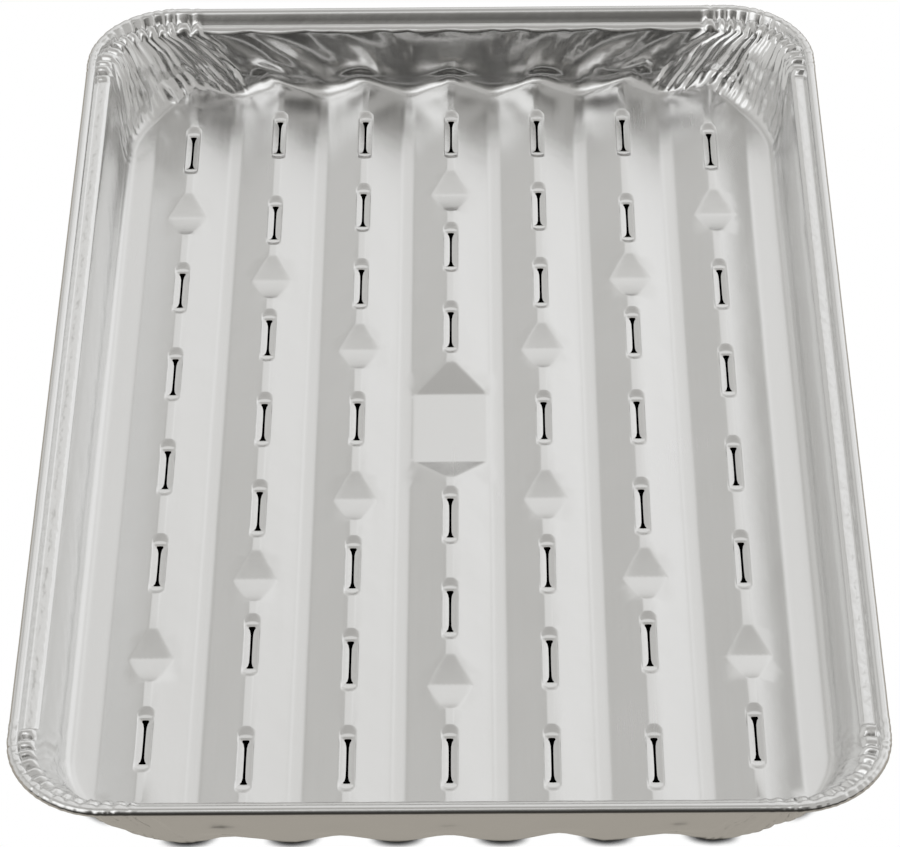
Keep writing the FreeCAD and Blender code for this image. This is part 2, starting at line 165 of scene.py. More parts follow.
def ripple(points, scale, seed, octaves=1):
    """Soft noise between -1 and 1 at points, whose bumps are about scale apart."""
    points = np.asarray(points, float) / scale + seed * SEED_SHIFT
    if points.shape[1] == 2:
        points = np.column_stack([points, np.full(len(points), seed * SEED_RISE)])
    return np.array([noise.fractal(Vector(p), OCTAVE_LOSS, OCTAVE_STEP, octaves) for p in points])


def ripple_along(along, scale, seed):
    """Soft noise at distances along a line."""
    return ripple(np.column_stack([along, along * 0]), scale, seed)


def ease(u):
    """0 below 0, 1 above 1, and a soft rise in between."""
    u = np.clip(u, 0.0, 1.0)
    return u * u * (3 - 2 * u)


# ---------------------------------------------------------------- floor

def slot_centres():
    return [(k * PITCH, side * y)
            for k in COLUMNS for y in SLOTS[abs(k)] for side in ((1, -1) if y else (1,))]


def notch_centres():
    return [(k * PITCH, side * NOTCHES[abs(k)]) for k in COLUMNS for side in (1, -1)]


def ridge_height(x):
    """Height of the plain ridges over the valleys."""
    column = np.clip(np.round(x / PITCH), COLUMNS[0], COLUMNS[-1])
    across = np.abs(x - column * PITCH)
    return SLOPE * (smooth_ramp(FOOT - across, FOOT_ROUND) - smooth_ramp(CREST_HALF - across, CREST_ROUND))


def end_drop(across):
    """How much sooner a slot's bed ends away from its middle line, where its end is rounded."""
    return POCKET_END * (1 - np.sqrt(np.clip(1 - (across / POCKET_HALF_X) ** 2, 0, 1)))


def pocket_height(across, along):
    """Bed, end slopes and flaps of a slot, over the valleys."""
    bed = RISE - POCKET_DEPTH
    round_end = POCKET_HALF_Y - end_drop(across)
    side = bed + (across - POCKET_HALF_X + SIDE_RUN) / SIDE_RUN * POCKET_DEPTH
    end = bed + (along - round_end + END_RUN) / END_RUN * POCKET_DEPTH
    height = smooth_high(smooth_high(np.full_like(across, bed), side, SIDE_ROUND), end, END_ROUND)
    depth = np.minimum(1 - across / MOUTH_HALF_X, (MOUTH_HALF_Y - along) / MOUTH_RUN)
    return height - FLAP_DROP * smooth_ramp(depth, FLAP_ROUND)


def notch_height(along, round_share):
    """A notch's folds over the valleys: straight, but for the share of it that is a round dip."""
    away = smooth_abs(along, 0.22) / NOTCH_HALF
    dip = 1 - np.sqrt(np.clip(1 - away ** 2, 0, 1)) + np.maximum(away - 1, 0)
    return RISE - NOTCH_DEPTH * (1 - (1 - round_share) * away - round_share * dip)


def floor_height(points):
    """Height of the foil's top face over the plan, above the table."""
    x, y = points[:, 0], points[:, 1]
    height = ridge_height(x)
    for cx, cy in notch_centres():
        near = (np.abs(x - cx) < PITCH / 2) & (np.abs(y - cy) < 2 * NOTCH_HALF)
        fold = notch_height(y[near] - cy, np.where(y[near] < cy, 0.45, 0.15))
        height[near] = smooth_low(height[near], fold, NOTCH_ROUND)
    near = (np.abs(x) < PITCH / 2) & (np.abs(y) < PAD_HALF + 2 * PAD_RAMP)
    ramp = RISE - PAD_DEPTH + PAD_DEPTH / PAD_RAMP * smooth_ramp(np.abs(y[near]) - PAD_HALF, 0.5)
    height[near] = smooth_low(height[near], ramp, PAD_ROUND)
    for cx, cy in slot_centres():
        near = (np.abs(x - cx) < 4) & (np.abs(y - cy) < POCKET_HALF_Y + 3)
        pocket = pocket_height(np.abs(x[near] - cx), np.abs(y[near] - cy))
        height[near] = smooth_low(height[near], pocket, POCKET_EDGE_ROUND)
    return FOIL + height + floor_dents(points)


def floor_dents(points):
    """Faint unevenness of the pressed floor; the valleys stay on the table."""
    x = points[:, 0]
    lift = np.clip(ridge_height(x) / 1.5, 0, 1) * np.clip(1 - (ridge_height(x) - 2.5) / 1.6, 0.15, 1)
    return 0.10 * lift * ripple(points * (1.0, 0.45), 16.0, seed=3.0, octaves=2)


class Lines:
    """Points of the floor plan, and the folds that join some of them."""

    def __init__(self):
        self.points, self.folds = [], []

    def add(self, points, fold=True, closed=False):
        first, count = len(self.points), len(points)
        self.points += [tuple(p) for p in points]
        if fold:
            last = count if closed else count - 1
            self.folds += [(first + i, first + (i + 1) % count) for i in range(last)]


def stretch(a, b, spacing):
    """Points from a to b, about spacing apart."""
    a, b = np.array(a, float), np.array(b, float)
    count = max(1, int(round(np.linalg.norm(b - a) / spacing)))
    return [tuple(a + (b - a) * i / count) for i in range(count + 1)]


def free_parts(low, high, blocks):
    """The parts of low..high that no block covers, without crumbs."""
    parts = [(low, high)]
    for start, end in sorted(blocks):
        parts = [piece for a, b in parts
                 for piece in ((a, min(b, start)), (max(a, end), b)) if piece[1] - piece[0] > 0.5]
    return parts


def plan_ridges(lines, reach):
    """Folds along the ridges, broken off at slots, notches and the pad."""
    for k in COLUMNS:
        cx = k * PITCH
        slots = [(cy - POCKET_HALF_Y - 0.6, cy + POCKET_HALF_Y + 0.6) for x, cy in slot_centres() if x == cx]
        notches = [(cy - NOTCH_HALF - 0.5, cy + NOTCH_HALF + 0.5) for x, cy in notch_centres() if x == cx]
        pad = [(-PAD_HALF - PAD_RAMP, PAD_HALF + PAD_RAMP)] if k == 0 else []
        rows = [(0.0, slots + notches + pad)]
        for side in (-1, 1):
            rows += [(side * u, slots + notches + pad) for u in (0.7, CREST_HALF, 1.4)]
            rows += [(side * u, notches + pad) for u in (3.4, 6.6)]
            rows += [(side * u, pad) for u in (9.4, 10.8, 11.3, 11.8, 12.3, 12.8)]
        for u, blocks in rows:
            for a, b in free_parts(-reach, reach, blocks):
                lines.add(stretch((cx + u, a), (cx + u, b), RIDGE_SPACING))
    for k in range(RIDGES + 1):
        x = (k - RIDGES / 2) * PITCH
        lines.add(stretch((x, -reach), (x, reach), RIDGE_SPACING))


def four_quarters(quarter):
    """A closed outline from its first quarter, which runs from the x axis to the y axis."""
    return ([(x, y) for x, y in quarter] + [(-x, y) for x, y in reversed(quarter[:-1])]
            + [(-x, -y) for x, y in quarter[1:]] + [(x, -y) for x, y in reversed(quarter[1:-1])])


def pocket_outline(inset):
    """Outline of a slot's bed: straight sides and rounded ends."""
    half_x = POCKET_HALF_X - inset
    half_y = POCKET_HALF_Y - inset * END_RUN / SIDE_RUN if inset > 0 else POCKET_HALF_Y - inset
    quarter = [(half_x, y) for y in SLOT_POINTS]
    for degrees in (0.0, 18.0, 36.0, 54.0, 72.0, 90.0):
        across = half_x * math.cos(math.radians(degrees))
        quarter.append((across, half_y - end_drop(across)))
    return four_quarters(quarter)


def mouth_outline():
    """Where the flaps begin to bend down from the bed."""
    x, y = MOUTH_HALF_X, MOUTH_HALF_Y
    return four_quarters([(x, along) for along in SLOT_POINTS] + [(x, y), (0.5 * x, y), (0.0, y)])


def slit_outline():
    """The torn gap: a narrow neck that widens to a head at each end."""
    quarter = [(SLIT_GAP, 0.0), (SLIT_GAP, 2.6), (SLIT_GAP + 0.05, SLIT_HALF - SLIT_HEAD_RUN),
               (SLIT_HEAD * 0.62, SLIT_HALF - 0.45 * SLIT_HEAD_RUN), (SLIT_HEAD, SLIT_HALF - 0.5),
               (SLIT_HEAD * 0.8, SLIT_HALF), (0.0, SLIT_HALF + 0.05)]
    return four_quarters(quarter)


def plan_slots(lines):
    """The closed folds of each slot, the edge of its slit, and points beside them."""
    beside = [(side_x * x, side_y * y) for side_x in (-1, 1) for side_y in (-1, 1)
              for x, y in ((1.6, 0.8), (1.6, 2.4), (1.6, 4.0), (1.6, 5.6), (0.9, 1.6), (0.9, 4.8),
                           (1.45, 7.0), (0.0, 8.8), (0.8, 8.8), (1.4, 8.8), (1.15, 8.2))]
    for cx, cy in slot_centres():
        beds = [pocket_outline(inset) for inset in (-0.3, 0.0, 0.3, SIDE_RUN, SIDE_RUN + 0.1)]
        for outline in (*beds, mouth_outline(), slit_outline()):
            lines.add([(cx + x, cy + y) for x, y in outline], closed=True)
        lines.add([(cx + x, cy + y) for x, y in beside], fold=False)


def plan_notches(lines):
    """The middle fold of each notch, and points across it and along its slanted folds."""
    for cx, cy in notch_centres():
        lines.add(stretch((cx - NOTCH_REACH, cy), (cx + NOTCH_REACH, cy), 1.2))
        for v in (0.3, 0.9, 2.2, 3.6, 5.2, 7.2):
            wide = NOTCH_REACH * (1 - 0.85 * v / NOTCH_HALF)
            for sy in (-1, 1):
                lines.add(stretch((cx - wide, cy + sy * v), (cx + wide, cy + sy * v), 1.5), fold=False)
        for sx in (-1, 1):
            for sy in (-1, 1):
                for off in (-0.45, 0.0, 0.45):
                    start = (cx + sx * (CREST_HALF + off), cy + sy * (NOTCH_HALF + off))
                    end = (cx + sx * (NOTCH_REACH + off), cy + sy * 0.9)
                    lines.add(stretch(start, end, 1.1), fold=False)


def plan_pad(lines):
    """Points on the pad's ends and sides, and along the slopes that lead into it."""
    for v in (-0.9, -0.4, 0.0, 0.4, 0.9):
        for sy in (-1, 1):
            y = sy * (PAD_HALF + v)
            lines.add(stretch((-PAD_REACH, y), (PAD_REACH, y), 1.5), fold=False)
    for sx in (-1, 1):
        for off in (-0.9, -0.45, 0.0, 0.45, 0.9):
            x = sx * (PAD_REACH + off)
            lines.add(stretch((x, -PAD_HALF), (x, PAD_HALF), 1.6), fold=False)
            for sy in (-1, 1):
                top = (sx * (CREST_HALF + off), sy * (PAD_HALF + PAD_RAMP))
                lines.add(stretch((x, sy * PAD_HALF), top, 1.1), fold=False)


def plan_fill(lines, spacing):
    """Free points all over, every other column shifted by half a step."""
    half_x, half_y = HIGH.x, HIGH.y
    for i in range(int(2 * half_x / spacing) + 1):
        for j in range(int(2 * half_y / spacing) + 1):
            lines.add([(-half_x + i * spacing, -half_y + (j + 0.5 * (i % 2)) * spacing)], fold=False)


def keep_apart(edge, lines, distance):
    """Points and folds, without free points that lie too near a fold, the edge or an earlier point."""
    folded = {i for fold in lines.folds for i in fold}
    order = sorted(range(len(lines.points)), key=lambda i: i not in folded)
    cells = {}

    def cell_of(p):
        return math.floor(p[0] / distance), math.floor(p[1] / distance)

    def insert(p):
        cells.setdefault(cell_of(p), []).append(p)

    def crowded(p):
        column, row = cell_of(p)
        return any((p[0] - q[0]) ** 2 + (p[1] - q[1]) ** 2 < distance * distance
                   for i in (column - 1, column, column + 1) for j in (row - 1, row, row + 1)
                   for q in cells.get((i, j), ()))

    fold_ends = [(lines.points[a], lines.points[b]) for a, b in lines.folds]
    for a, b in (*fold_ends, *zip(edge, np.roll(edge, -1, axis=0))):
        for p in stretch(a, b, 0.8 * distance):
            insert(p)
    kept, index = [], {}
    for i in order:
        p = lines.points[i]
        if i in folded or not crowded(p):
            insert(p)
            index[i] = len(kept)
            kept.append(p)
    return np.array(kept), [(index[a], index[b]) for a, b in lines.folds]


def inside_outline(points, half_x, half_y, radius):
    """Which points lie inside a rounded rectangle."""
    dx = np.maximum(np.abs(points[:, 0]) - (half_x - radius), 0)
    dy = np.maximum(np.abs(points[:, 1]) - (half_y - radius), 0)
    return np.hypot(dx, dy) < radius


# ---------------------------------------------------------------- stations round the tray

def straight_places(length, step):
    """Distances along a straight: close together beside the corners, where the foil is folded."""
    near = [FOLD_STEP * (i + 1) for i in range(FOLD_STEPS)]
    middle = length - 2 * near[-1]
    steps = int(round(middle / step))
    between = [near[-1] + middle * i / steps for i in range(1, steps)]
    return near + between + [length - place for place in reversed(near)]


class Stations:
    """Places round the tray, counter-clockwise: the four corners, each followed by a straight.

    turn is the outward direction, share the place along a straight, past the distance past the
    nearest corner, and along the distance travelled round the tray. toward_middle is 1 or -1, the
    way round to the middle of the nearer end.
    """

    def __init__(self):
        quarter, turn, share, past = [], [], [], []
        for corner in range(4):
            length = 2 * (HIGH.y if corner % 2 else HIGH.x) - 2 * RIM_CORNER
            along = straight_places(length, SIDE_STEP if corner % 2 else END_STEP)
            quarter += [corner] * (CORNER_STEPS + 1 + len(along))
            turn += [90.0 * corner + 90.0 * i / CORNER_STEPS for i in range(CORNER_STEPS + 1)]
            turn += [90.0 * (corner + 1)] * len(along)
            share += [0.0] * (CORNER_STEPS + 1) + [place / length for place in along]
            past += [0.0] * (CORNER_STEPS + 1) + [min(place, length - place) for place in along]
        self.quarter, self.turn = np.array(quarter), np.radians(turn)
        self.share, self.past = np.array(share), np.array(past)
        self.count = len(quarter)
        self.on_end = np.abs(np.sin(self.turn)) > 0.7
        self.toward_middle = np.where((self.quarter + (self.share > 0.5)) % 2 == 0, 1, -1)
        self.along = self.travel()
        self.across, toward_far = self.ring(HIGH.x, HIGH.y, RIM_CORNER)[0].T
        self.far = toward_far > 0

    def ring(self, half_x, half_y, radius):
        """Plan positions and outward directions on a rounded rectangle."""
        signs = np.array(((1, 1), (-1, 1), (-1, -1), (1, -1)))
        radius = radius + np.zeros(self.count)
        centre = np.stack([half_x - radius, half_y - radius], 1)
        here, there = signs[self.quarter] * centre, signs[(self.quarter + 1) % 4] * centre
        normal = np.stack([np.cos(self.turn), np.sin(self.turn)], 1)
        share = self.share[:, None]
        return here * (1 - share) + there * share + normal * radius[:, None], normal

    def travel(self):
        """Distance round the tray from the first station, half-way up the wall."""
        points, _ = self.ring(HIGH.x - RIM_INSET, HIGH.y - RIM_INSET, FLOOR_CORNER - 6)
        return np.concatenate([[0.0], np.cumsum(np.linalg.norm(np.diff(points, axis=0), axis=1))])


def wall_ring(places, level, inset):
    """Stations on the wall at a height, inset towards the inside."""
    share = np.clip(level / WALL_TOP, 0, 1)
    share = (1 - FLARE) * share + FLARE * np.clip(1 - (WALL_TOP - level) / FLARE_HEIGHT, 0, 1) ** 2
    rim_radius = RIM_CORNER - RIM_INSET
    radius = rim_radius + (FLOOR_CORNER - rim_radius) * (1 - share)
    half_x = HIGH.x - RIM_INSET - SIDE_LEAN * (1 - share)
    half_y = HIGH.y - RIM_INSET - END_LEAN * (1 - share)
    return places.ring(half_x - inset, half_y - inset, radius - inset)


def rim_ring(places, offset):
    """Stations outside the wall's top edge by offset."""
    half_x, half_y = HIGH.x - RIM_INSET + offset, HIGH.y - RIM_INSET + offset
    return places.ring(half_x, half_y, RIM_CORNER - RIM_INSET + offset)


# ---------------------------------------------------------------- gathers, dents and waves

def any_number(index, seed):
    """A settled number between 0 and 1 for each index."""
    return (np.sin(index * 12.9898 + seed * 78.233) * 43758.5453) % 1.0


def pleats(along, width, seed, sharp=0.7):
    """Uneven pleats: 0 on their backs, down to -1 in the folds between them, each of its own depth."""
    wander = ripple_along(along, 2.5 * width, seed)
    phase = along / width + 0.9 * wander
    index = np.floor(phase)
    depth = 0.35 + 0.65 * any_number(index, seed)
    other = 0.35 + 0.65 * any_number(index + 1, seed)
    within = phase - index
    left, right = (1 - within) ** (1 / sharp), within ** (1 / sharp)
    return -(depth * left ** 1.6 + other * right ** 1.6)


def rolls(along, width, seed):
    """Rounded folds side by side: up to 1 on their backs, down to 0 in the creases between them."""
    wander = ripple_along(along, 2.5 * width, seed)
    phase = along / width + 0.45 * wander
    index = np.floor(phase)
    within = (phase - index) ** 0.75
    height = 0.6 + 0.4 * any_number(index, seed)
    return height * np.sqrt(np.maximum(0.0, 1 - (2 * within - 1) ** 2))


# Dents of the end walls: place at the rim from the middle outwards, shift towards the middle at the
# floor, half-width and depth, and the height of the deepest place and the reach up and down from it,
# both as a share of the wall.
WALL_DENTS = (
    (86, 12, 1.6, 1.2, 0.60, 0.60), (78, 13, 1.5, 1.3, 0.60, 0.60), (71, 15, 1.8, -0.9, 0.50, 0.40),
    (64, 17, 1.7, 1.5, 0.55, 0.60), (54, 16, 2.4, -1.0, 0.55, 0.36), (45, 15, 2.6, 1.2, 0.80, 0.34),
    (37, 12, 1.7, 1.1, 0.60, 0.45), (29, 4, 2.6, -0.8, 0.35, 0.30), (22, 7, 1.8, 1.3, 0.85, 0.40),
    (14, -6, 1.8, 1.2, 0.80, 0.34), (7, 4, 2.4, -0.7, 0.30, 0.28), (0, 5, 3.0, 0.8, 0.90, 0.30))


def wall_dents(places, level, up):
    """Slanted dents of the end walls, mirrored about the middle but for their strength."""
    across = np.abs(places.across)
    mirror = np.where(places.across > 0, 1.0, -1.0)
    total = np.zeros(places.count)
    for rim_place, shift, half_width, depth, high, tall in WALL_DENTS:
        sway = 1.5 * ripple(np.column_stack([rim_place * mirror, 14 * up]), 7.0, seed=31.0)
        beside = (across - rim_place + shift * (1 - up) + sway) / half_width
        strength = depth * (0.85 + 0.25 * any_number(rim_place * mirror, seed=5.0))
        strength = strength * np.where(places.far, 1.0, NEAR_DENTS)
        total += strength * np.exp(-np.abs(beside) ** 1.3) * np.exp(-((up - high) / tall) ** 2)
    return total


def gathers(places, level):
    """How far the wall is pushed out at each station: folds of the corners, dents of the walls."""
    up = np.clip(level / WALL_TOP, 0, 1)
    foot = ease((level - FOIL - 0.3) / 3.0)
    # pleats of the corners, with a little unevenness of their own
    spot = np.column_stack([places.along, 24 * up])
    sway = ripple(spot, 13.0, seed=11.0, octaves=2)
    reach = np.where(places.on_end, END_PLEAT_REACH, SIDE_PLEAT_REACH)
    corner = ease(1 - places.past / reach) * foot
    slant = places.along - places.toward_middle * PLEAT_SLANT * (WALL_TOP - level)
    depth = np.where(places.on_end, END_PLEAT_DEPTH, SIDE_PLEAT_DEPTH) * (0.8 + 0.6 * sway)
    depth = depth * np.where(places.far, 1.0, NEAR_PLEATS)
    out = corner * depth * pleats(slant + 1.6 * sway, PLEAT_WIDTH, seed=2.0)
    out = out + corner * PLEAT_NOISE * ripple(spot, 3.0, seed=21.0)
    # dents of the end walls and faint slanted ripples of the side walls
    middle = np.sin(math.pi * np.clip((level - FOIL) / WALL_TOP, 0, 1)) ** 0.6
    soft = ripple(np.column_stack([places.along + 12 * up, 30 * up]), 24.0, seed=5.0, octaves=2)
    on_end = END_WAVES * soft * middle + wall_dents(places, level, up) * ease(places.past / 6.0 + 0.2)
    ripples = np.sin((places.along + 1.6 * level) / 2.2 + 2.0 * soft) * ease(places.past / 10.0)
    on_side = (SIDE_RIPPLES * ripples + SIDE_WAVES * soft) * middle
    return out + foot * np.where(places.on_end, on_end, on_side)


# ---------------------------------------------------------------- skirt: walls, flange, hem

def skirt_rows(places):
    """Rows of points from the floor's edge up the wall, over the lip and round the curled edge.

    Each row is an array of 3D points, one per station. The first row lies on the floor.
    """
    edge, _ = wall_ring(places, 0.0, VALLEY_BEND)
    at_ridges = np.abs(edge[:, 1]) > HIGH.y - RIM_INSET - END_LEAN - FLOOR_CORNER
    lift = np.where(at_ridges, ridge_height(edge[:, 0]), 0.0)
    bend = VALLEY_BEND + (CREST_BEND - VALLEY_BEND) * lift / RISE
    rows = []
    for degrees in BEND_ROWS:
        turn = math.radians(degrees)
        rows.append(wall_row(places, FOIL + lift + bend * (1 - math.cos(turn)), bend * (1 - math.sin(turn))))
    # above the bend, the wall bulges out a little where a ridge runs into it
    start = FOIL + lift + bend
    for share in WALL_ROWS:
        ledge = LEDGE * lift / RISE * ease((share - 0.05) / 0.07) * ease((0.36 - share) / 0.18)
        rows.append(wall_row(places, start + (WALL_TOP - start) * share, -ledge))
    return rows + rim_rows(places)


def wall_row(places, level, inset):
    """One row of the wall at a height of its own at each station, with its gathers."""
    ring, normal = wall_ring(places, level, inset)
    return np.column_stack([ring + normal * gathers(places, level)[:, None], level])


def rim_line(bends):
    """Points of the rim's line, outward and up from the wall's top."""
    out, up, heading = 0.0, 0.0, RIM_HEADING
    points = []
    for length, turn, steps in bends:
        for _ in range(steps):
            middle = math.radians(heading + turn / steps / 2)
            out += length / steps * math.cos(middle)
            up += length / steps * math.sin(middle)
            heading += turn / steps
            points.append((out, up))
    return points


def corner_share(places):
    """1 round a corner, falling to 0 just past its ends."""
    return ease((np.where(places.on_end, 8.0, 6.5) - places.past) / 2.0)


def rim_rows(places):
    """Rows of lip, flange and curled edge. The spare foil lies in folds on the flange of a corner."""
    corner = corner_share(places)
    folds = corner * (rolls(-places.along * np.sign(places.across), FOLD_WIDTH, seed=3.0) - 0.35)
    cracks = corner * (pleats(places.along, CRACK_WIDTH, seed=9.0, sharp=0.4) + 0.35)
    cracks = cracks * (0.75 + 0.9 * ripple_along(places.along, 5.0, seed=43.0))
    soft = 0.05 * ripple_along(places.along, 9.0, seed=41.0)
    end = np.sin(places.turn) ** 2
    wall = gathers(places, np.full(places.count, WALL_TOP))
    rows = []
    for row, (at_end, at_side) in enumerate(zip(rim_line(END_RIM), rim_line(SIDE_RIM))):
        out = end * at_end[0] + (1 - end) * at_side[0]
        up = end * at_end[1] + (1 - end) * at_side[1]
        folded = float(np.interp(row, *FOLDED_ROWS))
        cracked = float(np.interp(row, *CRACKED_ROWS))
        from_wall = wall * max(0.0, 1 - (row + 1) / 5)
        push = from_wall + FOLD_PUSH * folds * folded + (CRACK_PUSH * cracks + soft) * cracked
        level = WALL_TOP + up + FOLD_LIFT * folds * folded + CRACK_SINK * np.minimum(cracks, 0) * cracked
        ring, normal = rim_ring(places, out)
        rows.append(np.column_stack([ring + normal * push[:, None], np.minimum(level, RIM_CEILING)]))
    return rows


# ---------------------------------------------------------------- the tray's mesh

def floor_plan(edge):
    """The floor's points in plan, its edge first, and the folds and edge lines that join them."""
    half_x = HIGH.x - RIM_INSET - SIDE_LEAN - VALLEY_BEND
    half_y = HIGH.y - RIM_INSET - END_LEAN - VALLEY_BEND
    radius = FLOOR_CORNER - VALLEY_BEND
    lines = Lines()
    plan_ridges(lines, half_y - 0.6)
    plan_slots(lines)
    plan_notches(lines)
    plan_pad(lines)
    for x in (half_x - 0.5, half_x - 1.2):
        for sx in (-1, 1):
            lines.add(stretch((sx * x, -(half_y - radius)), (sx * x, half_y - radius), 4.0), fold=False)
    plan_fill(lines, FILL_SPACING)
    inner, folds = keep_apart(edge, lines, POINT_GAP)
    inside = inside_outline(inner, half_x - 0.45, half_y - 0.45, radius - 0.45)
    count = len(edge)
    index = np.cumsum(inside) - 1 + count
    joined = [(i, (i + 1) % count) for i in range(count)]
    joined += [(index[a], index[b]) for a, b in folds if inside[a] and inside[b]]
    return np.vstack([edge, inner[inside]]), joined


def floor_mesh(edge):
    """The floor's points inside its edge, and its triangles, which count on from the edge's own points."""
    plan, joined = floor_plan(edge)
    count = len(edge)
    result = delaunay_2d_cdt([Vector(p) for p in plan], joined, [], 0, 1e-6)
    flat, faces, origins = np.array([tuple(v) for v in result[0]]), result[2], result[3]
    # points of the edge keep their own order, and the others follow
    number = {new: old for new, olds in enumerate(origins) for old in olds if old < count}
    inner = [i for i in range(len(flat)) if i not in number]
    number.update({new: count + k for k, new in enumerate(inner)})
    torn = in_slits(np.array([flat[list(face)].mean(0) for face in faces]))
    triangles = [tuple(number[i] for i in facing_up(face, flat))
                 for face, gone in zip(faces, torn) if not gone]
    triangles = [face for face in triangles if not outside_edge(face, count)]
    return np.column_stack([flat[inner], floor_height(flat)[inner]]), triangles


def tray_mesh():
    """Points, triangles of the floor, quads of the skirt, and how crinkled the foil is at each point."""
    places = Stations()
    count = places.count
    rows = skirt_rows(places)
    edge = rows[0][:, :2]
    inner, triangles = floor_mesh(edge)
    rows[0][:, 2] = floor_height(edge)
    first = count + len(inner)
    quads = []
    for r in range(1, len(rows)):
        upper = first + (r - 1) * count
        lower = upper - count if r > 1 else 0
        for i in range(count):
            j = (i + 1) % count
            quads.append((lower + i, upper + i, upper + j, lower + j))
    crinkle = [np.zeros(first)] + [row_crinkle(places, rows[r][:, 2], r) for r in range(1, len(rows))]
    return np.vstack([rows[0], inner, *rows[1:]]), triangles, quads, np.concatenate(crinkle)


def row_crinkle(places, level, row):
    """How finely crinkled the foil is at a row of the skirt: most on the flange of the long sides."""
    if row < RIM_START:
        return WALL_CRINKLE * ease((level - 4) / 8)
    if row < RIM_START + LIP_ROWS or row > RIM_START + FLANGE_END:
        return np.full(places.count, EDGE_CRINKLE)
    return np.where(places.on_end, 0.2, 0.3 + 0.7 * ease(places.past / 6.0))


def facing_up(face, flat):
    """A triangle's points in the order that makes it face up."""
    (ax, ay), (bx, by), (cx, cy) = (flat[i] for i in face)
    turn = (bx - ax) * (cy - ay) - (by - ay) * (cx - ax)
    return face if turn > 0 else face[::-1]


def outside_edge(face, count):
    """Whether a triangle between three points of the floor's edge lies outside that edge."""
    if max(face) >= count:
        return False
    a, b, c = face
    return not (a < b < c or b < c < a or c < a < b)


def in_slits(points):
    """Which points lie in the torn gap of a slot."""
    outline = np.array(slit_outline())
    inside = np.zeros(len(points), bool)
    for cx, cy in slot_centres():
        near = (np.abs(points[:, 0] - cx) < SLIT_HEAD + 0.2) & (np.abs(points[:, 1] - cy) < SLIT_HALF + 1)
        for i in np.flatnonzero(near):
            px, py = points[i] - (cx, cy)
            hit = False
            for (x0, y0), (x1, y1) in zip(outline, np.roll(outline, -1, axis=0)):
                if (y0 > py) != (y1 > py) and px < (x1 - x0) * (py - y0) / (y1 - y0) + x0:
                    hit = not hit
            inside[i] = hit
    return inside


def make_tray(material):
    """The sheet's top face, given the foil's thickness downwards and outwards."""
    vertices, triangles, quads, crinkle = tray_mesh()
    mesh = bpy.data.meshes.new("foil_tray_sheet")
    mesh.from_pydata([tuple(v) for v in vertices * MM], [], triangles + quads)
    mesh.attributes.new("crinkle", "FLOAT", "POINT").data.foreach_set("value", crinkle)
    tray = bpy.data.objects.new("foil_tray_sheet", mesh)
    bpy.context.scene.collection.objects.link(tray)
    solidify = tray.modifiers.new("foil", "SOLIDIFY")
    solidify.thickness = FOIL * MM
    solidify.offset = -1.0
    solidify.use_even_offset = False
    sheet = bpy.data.meshes.new_from_object(tray.evaluated_get(bpy.context.evaluated_depsgraph_get()))
    tray.modifiers.clear()
    tray.data = sheet
    sheet.shade_smooth()
    sheet.set_sharp_from_angle(angle=math.radians(SHARP_ANGLE))
    sheet.materials.clear()
    sheet.materials.append(material)
    return tray


# ---------------------------------------------------------------- material

# Noise of the foil, as spots per metre along X, Y and Z and detail: soft unevenness, grain, rolling
# lines, creases of folded foil and clouds. The depth of each one's bump is in metres.
SOFT, SOFT_BUMP = ((70, 70, 70), 3.0), 0.00010
GRAIN, GRAIN_BUMP = ((900, 900, 900), 2.0), 0.000003
ROLLED, ROLLED_BUMP = ((1500, 18, 18), 3.0), 0.000001
CREASES, CREASE_BUMP = ((420, 300, 420), 1.5), 0.00032
CLOUDS = ((22, 22, 22), 2.0)
DULLER, BRIGHTER = (0.795, 0.795, 0.785, 1.0), (0.845, 0.845, 0.845, 1.0)
# Least roughness, what rolling lines and clouds add to it, and the most that crinkled foil loses of it.
ROUGHNESS, ROLLED_ROUGH, CLOUD_ROUGH, CRINKLED_SMOOTH = 0.18, 0.06, 0.08, 0.06


def foil_material():
    """Dull side of kitchen foil: soft unevenness, rolling lines and a fine crinkle where it was folded."""
    material = bpy.data.materials.new("foil")
    material.use_nodes = True
    nodes, links = material.node_tree.nodes, material.node_tree.links
    shader = nodes["Principled BSDF"]
    shader.inputs["Metallic"].default_value = 1.0
    place = nodes.new("ShaderNodeTexCoord").outputs["Object"]
    soft, grain, rolled, creases, clouds = (
        noise_node(nodes, links, place, *noise_kind) for noise_kind in (SOFT, GRAIN, ROLLED, CREASES, CLOUDS))
    crinkled = nodes.new("ShaderNodeAttribute")
    crinkled.attribute_name = "crinkle"
    crinkle = crinkled.outputs["Fac"]

    share = math_node(nodes, links, "ADD", math_node(nodes, links, "MULTIPLY", clouds, 0.7),
                      math_node(nodes, links, "MULTIPLY", rolled, 0.3))
    links.new(colour_mix(nodes, links, share, DULLER, BRIGHTER), shader.inputs["Base Color"])

    rough = math_node(nodes, links, "MULTIPLY_ADD", rolled, ROLLED_ROUGH, ROUGHNESS)
    rough = math_node(nodes, links, "MULTIPLY_ADD", clouds, CLOUD_ROUGH, rough)
    smoother = math_node(nodes, links, "MULTIPLY", crinkle, 2.0)
    smoother = math_node(nodes, links, "MINIMUM", smoother, CRINKLED_SMOOTH)
    links.new(math_node(nodes, links, "SUBTRACT", rough, smoother), shader.inputs["Roughness"])

    normal = None
    for height, distance in ((soft, SOFT_BUMP), (rolled, ROLLED_BUMP), (grain, GRAIN_BUMP),
                             (math_node(nodes, links, "MULTIPLY", creases, crinkle), CREASE_BUMP)):
        normal = bump_node(nodes, links, height, distance, normal)
    links.new(normal, shader.inputs["Normal"])
    return material


